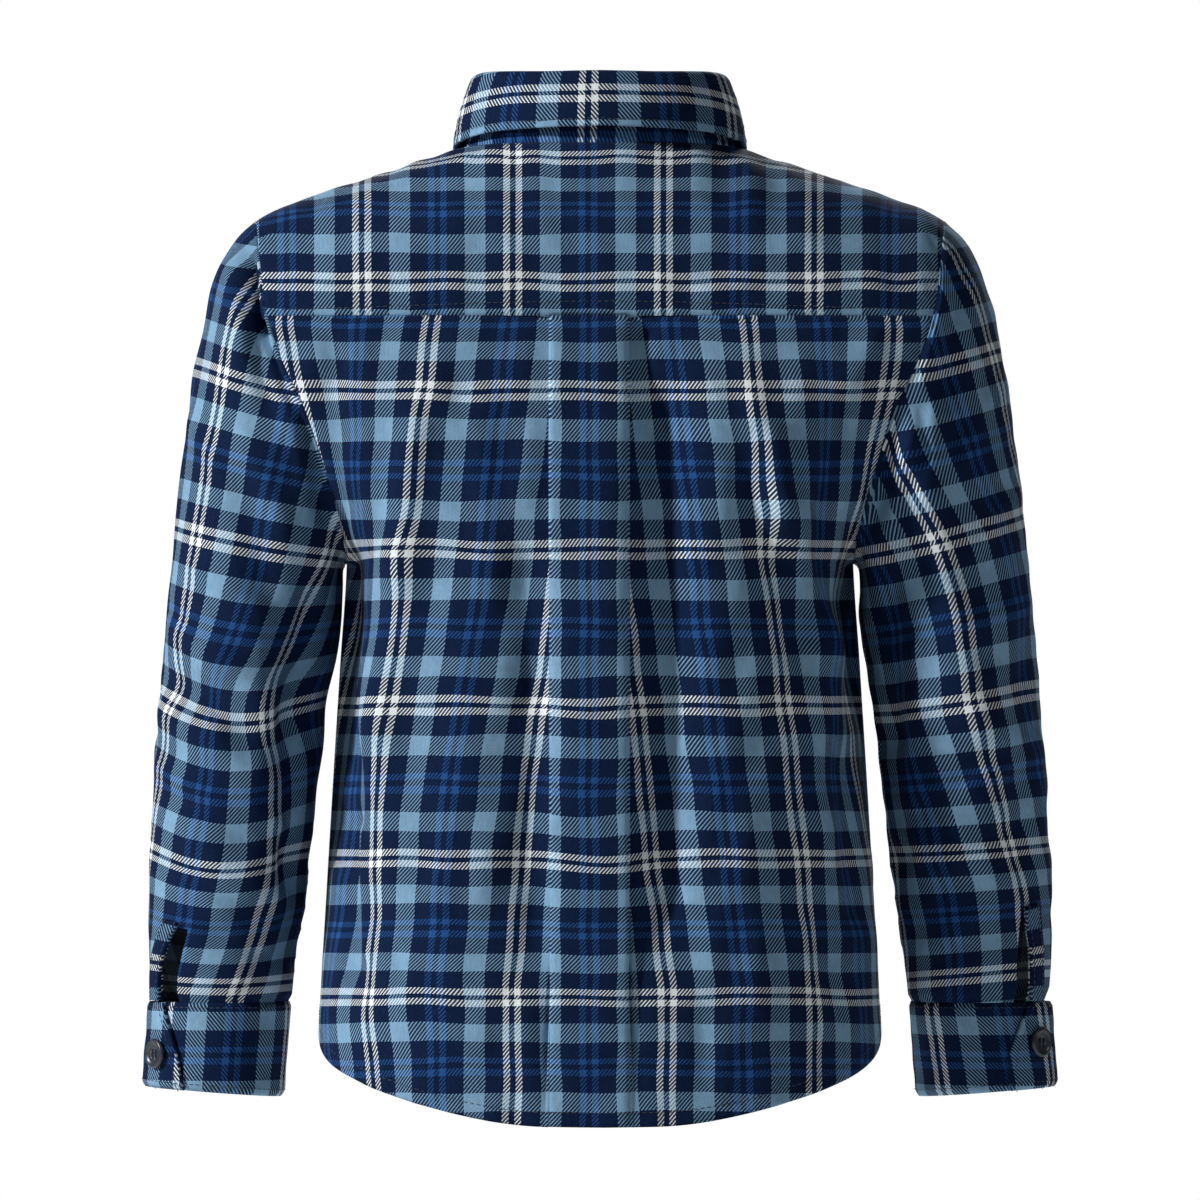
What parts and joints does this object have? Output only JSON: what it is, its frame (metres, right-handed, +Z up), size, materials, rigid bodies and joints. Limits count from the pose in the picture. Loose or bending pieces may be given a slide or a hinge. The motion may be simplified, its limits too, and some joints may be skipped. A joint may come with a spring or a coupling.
{
  "type": "child's check flannel shirt",
  "caption": "Long-sleeved check flannel shirt for a small child, filled out as worn, with a turned-down collar, back yoke with a box pleat, buttoned cuffs and a curved shirt-tail hem.",
  "frame": {"origin": "centre of the neck opening, level with the neck seam at the centre back, where the wearer's neck and shoulders hold the shirt", "axes": "+Z up, +Y towards the wearer's back, +X towards the wearer's left"},
  "size_m": [0.3853, 0.1711, 0.4398],
  "materials": {
    "flannel": "soft brushed twill, navy, royal blue, light blue and off-white check",
    "button": "satin dark slate"
  },
  "bodies": {
    "root": {"back_panel": "flannel", "yoke": "flannel", "front_left": "flannel", "front_right": "flannel", "front_placket": "flannel", "collar_stand": "flannel", "collar_fall": "flannel", "sleeve_left": "flannel", "sleeve_right": "flannel", "sleeve_placket_left": "flannel", "sleeve_placket_right": "flannel", "cuff_left": "flannel", "cuff_right": "flannel", "button_collar": "button", "button_front_1": "button", "button_front_2": "button", "button_front_3": "button", "button_front_4": "button", "button_front_5": "button", "button_front_6": "button", "button_cuff_left": "button", "button_cuff_right": "button"}
  },
  "joints": []
}
